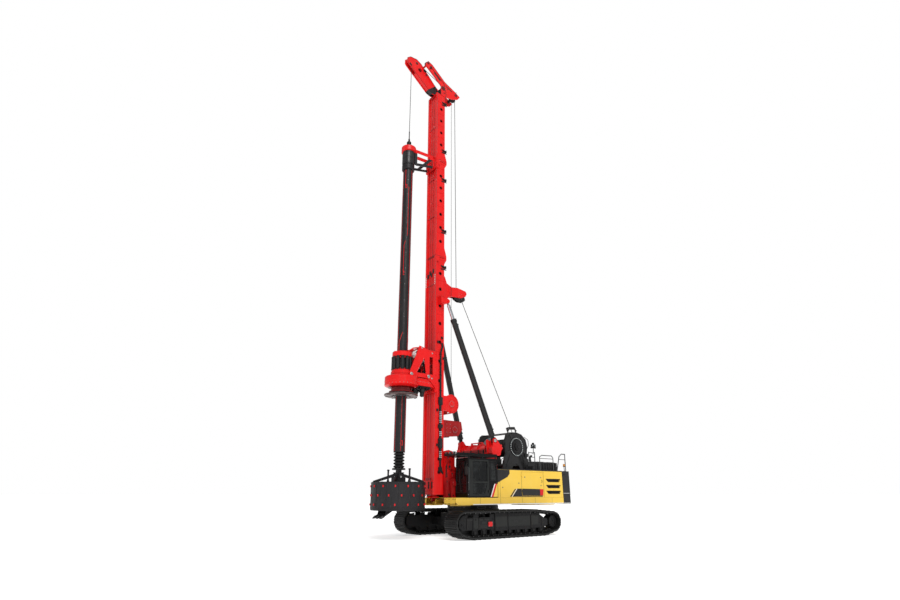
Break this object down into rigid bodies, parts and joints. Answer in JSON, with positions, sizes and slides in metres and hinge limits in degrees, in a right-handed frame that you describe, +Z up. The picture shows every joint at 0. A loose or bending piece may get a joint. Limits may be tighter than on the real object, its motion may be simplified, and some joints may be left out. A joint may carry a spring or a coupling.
{
  "type": "rotary piling rig",
  "caption": "Crawler rig with a tall mast, keyed telescopic kelly bar, rotary drive, drilling bucket, stay cylinders, main winch, hollow cab and slewing upper deck.",
  "frame": {"origin": "on the ground under the slewing axis, at the centre of the footprint", "axes": "+X forward to the kelly bar, +Y to the cab side, +Z up"},
  "size_m": [11.66, 5.06, 27.7],
  "materials": {
    "red_paint": "gloss",
    "yellow_paint": "gloss",
    "black_paint": "satin",
    "cab_black": "gloss",
    "track_steel": "worn steel",
    "kelly_steel": "satin",
    "rod_chrome": "polished",
    "bare_steel": "machined",
    "window_glass": "tinted",
    "seat_cloth": "woven",
    "inner_plastic": "moulded"
  },
  "bodies": {
    "undercarriage": {"car_body": "black_paint", "slew_ring": "bare_steel", "track_frames": "track_steel", "track_left": "track_steel", "track_right": "track_steel", "running_gear": "track_steel"},
    "upper": {"deck_frame": "black_paint", "side_beams": "yellow_paint", "counterweight": "black_paint", "engine_block": "black_paint", "housing_left": "yellow_paint", "housing_right": "yellow_paint", "housing_top": "yellow_paint", "tank_cabinet": "black_paint", "top_box": "black_paint", "deck_rails": "black_paint", "cab_shell": "cab_black", "cab_glass": "window_glass", "operator_seat": "seat_cloth", "cab_console": "inner_plastic", "roof_guard": "black_paint", "stay_frame": "red_paint", "mast_bracket": "red_paint", "winch_frame": "black_paint"},
    "cab_door": {"cab_door": "cab_black", "door_glass": "window_glass"},
    "service_door_left": {"service_door_left": "yellow_paint"},
    "service_door_right": {"service_door_right": "yellow_paint"},
    "main_drum": {"main_drum": "black_paint"},
    "mast": {"mast_lower": "red_paint", "mast_middle": "red_paint", "mast_top": "red_paint", "mast_foot": "red_paint", "mast_head": "red_paint", "stay_lugs": "red_paint", "rope_bracket": "red_paint", "crowd_winch_stand": "red_paint", "aux_winch_stand": "red_paint"},
    "crowd_drum": {"crowd_drum": "red_paint"},
    "aux_drum": {"aux_drum": "red_paint"},
    "head_sheave": {"head_sheave": "black_paint"},
    "rear_sheave": {"rear_sheave": "black_paint"},
    "bracket_sheave": {"bracket_sheave": "black_paint"},
    "stay_barrel_left": {"stay_barrel_left": "black_paint"},
    "stay_rod_left": {"stay_rod_left": "rod_chrome"},
    "stay_barrel_right": {"stay_barrel_right": "black_paint"},
    "stay_rod_right": {"stay_rod_right": "rod_chrome"},
    "rotary_drive": {"drive_carriage": "red_paint", "drive_housing": "red_paint", "drive_barrel": "red_paint", "drive_motors": "black_paint"},
    "drive_sleeve": {"drive_sleeve": "bare_steel"},
    "kelly_guide": {"kelly_guide": "red_paint"},
    "kelly": {"kelly_outer": "kelly_steel"},
    "inner_kelly": {"kelly_inner": "kelly_steel", "kelly_spring": "kelly_steel", "bucket_body": "kelly_steel", "bucket_frame": "kelly_steel"},
    "swivel": {"kelly_swivel": "kelly_steel"},
    "bucket_bottom": {"bucket_bottom": "kelly_steel"}
  },
  "joints": [
    {"name": "slew", "type": "hinge", "parent": "undercarriage", "child": "upper", "pos_m": [0, 0, 1.4], "axis": [0, 0, 1], "continuous": true},
    {"name": "cab_door_hinge", "type": "hinge", "parent": "upper", "child": "cab_door", "pos_m": [0.336, 1.632, 2.65], "axis": [0, 0, 1], "range_deg": [0, 150]},
    {"name": "service_door_left_hinge", "type": "hinge", "parent": "upper", "child": "service_door_left", "pos_m": [-1.97, 1.622, 2.4], "axis": [0, 0, -1], "range_deg": [0, 115]},
    {"name": "service_door_right_hinge", "type": "hinge", "parent": "upper", "child": "service_door_right", "pos_m": [-1.97, -1.622, 2.4], "axis": [0, 0, 1], "range_deg": [0, 115]},
    {"name": "main_drum_spin", "type": "hinge", "parent": "upper", "child": "main_drum", "pos_m": [-2.22, 0, 4.3], "axis": [0, 1, 0], "continuous": true},
    {"name": "mast_tilt", "type": "hinge", "parent": "upper", "child": "mast", "pos_m": [1.75, 0, 2.4], "axis": [0, 1, 0], "range_deg": [-10, 5]},
    {"name": "crowd_drum_spin", "type": "hinge", "parent": "mast", "child": "crowd_drum", "pos_m": [1.5, 0, 5], "axis": [0, 1, 0], "continuous": true},
    {"name": "aux_drum_spin", "type": "hinge", "parent": "mast", "child": "aux_drum", "pos_m": [1.7, 0, 6.29], "axis": [0, 1, 0], "continuous": true},
    {"name": "head_sheave_spin", "type": "hinge", "parent": "mast", "child": "head_sheave", "pos_m": [4.24, 0, 27.3], "axis": [0, 1, 0], "continuous": true},
    {"name": "rear_sheave_spin", "type": "hinge", "parent": "mast", "child": "rear_sheave", "pos_m": [1.33, 0, 26.19], "axis": [0, 1, 0], "continuous": true},
    {"name": "bracket_sheave_spin", "type": "hinge", "parent": "mast", "child": "bracket_sheave", "pos_m": [0.82, 0, 12.48], "axis": [0, 1, 0], "continuous": true},
    {"name": "stay_barrel_left_swing", "type": "hinge", "parent": "upper", "child": "stay_barrel_left", "pos_m": [-0.35, 1.3, 4.5], "axis": [0.004, 0.9955, 0.0948], "range_deg": [-12.35, 6.43]},
    {"name": "stay_rod_left_slide", "type": "slide", "parent": "stay_barrel_left", "child": "stay_rod_left", "axis": [0.3235, -0.0909, 0.9419], "range_m": [-0.4483, 0.2267]},
    {"name": "stay_barrel_right_swing", "type": "hinge", "parent": "upper", "child": "stay_barrel_right", "pos_m": [-0.35, -1.3, 4.5], "axis": [-0.004, 0.9955, -0.0948], "range_deg": [-12.35, 6.43]},
    {"name": "stay_rod_right_slide", "type": "slide", "parent": "stay_barrel_right", "child": "stay_rod_right", "axis": [0.3235, 0.0909, 0.9419], "range_m": [-0.4483, 0.2267]},
    {"name": "drive_crowd", "type": "slide", "parent": "mast", "child": "rotary_drive", "axis": [0, 0, 1], "range_m": [-2.4, 9]},
    {"name": "drive_sleeve_spin", "type": "hinge", "parent": "rotary_drive", "child": "drive_sleeve", "pos_m": [4.54, 0, 7], "axis": [0, 0, 1], "continuous": true},
    {"name": "kelly_hoist", "type": "slide", "parent": "mast", "child": "kelly_guide", "axis": [0, 0, 1], "range_m": [-9.5, 2.6]},
    {"name": "kelly_spin", "type": "hinge", "parent": "kelly_guide", "child": "kelly", "pos_m": [4.54, 0, 19.5], "axis": [0, 0, 1], "continuous": true},
    {"name": "kelly_extension", "type": "slide", "parent": "kelly", "child": "inner_kelly", "axis": [0, 0, 1], "range_m": [-15, 0]},
    {"name": "swivel_turn", "type": "hinge", "parent": "inner_kelly", "child": "swivel", "pos_m": [4.54, 0, 21], "axis": [0, 0, 1], "continuous": true},
    {"name": "bucket_bottom_hinge", "type": "hinge", "parent": "inner_kelly", "child": "bucket_bottom", "pos_m": [3.295, 0, 1.29], "axis": [0, 1, 0], "range_deg": [0, 60]}
  ],
  "couplings": [
    {"joint": "drive_sleeve_spin", "follows": "kelly_spin", "ratio": 1},
    {"joint": "stay_barrel_left_swing", "follows": "mast_tilt", "ratio": 1.185},
    {"joint": "stay_rod_left_slide", "follows": "mast_tilt", "m_per_rad": 2.54},
    {"joint": "stay_barrel_right_swing", "follows": "mast_tilt", "ratio": 1.185},
    {"joint": "stay_rod_right_slide", "follows": "mast_tilt", "m_per_rad": 2.54}
  ]
}
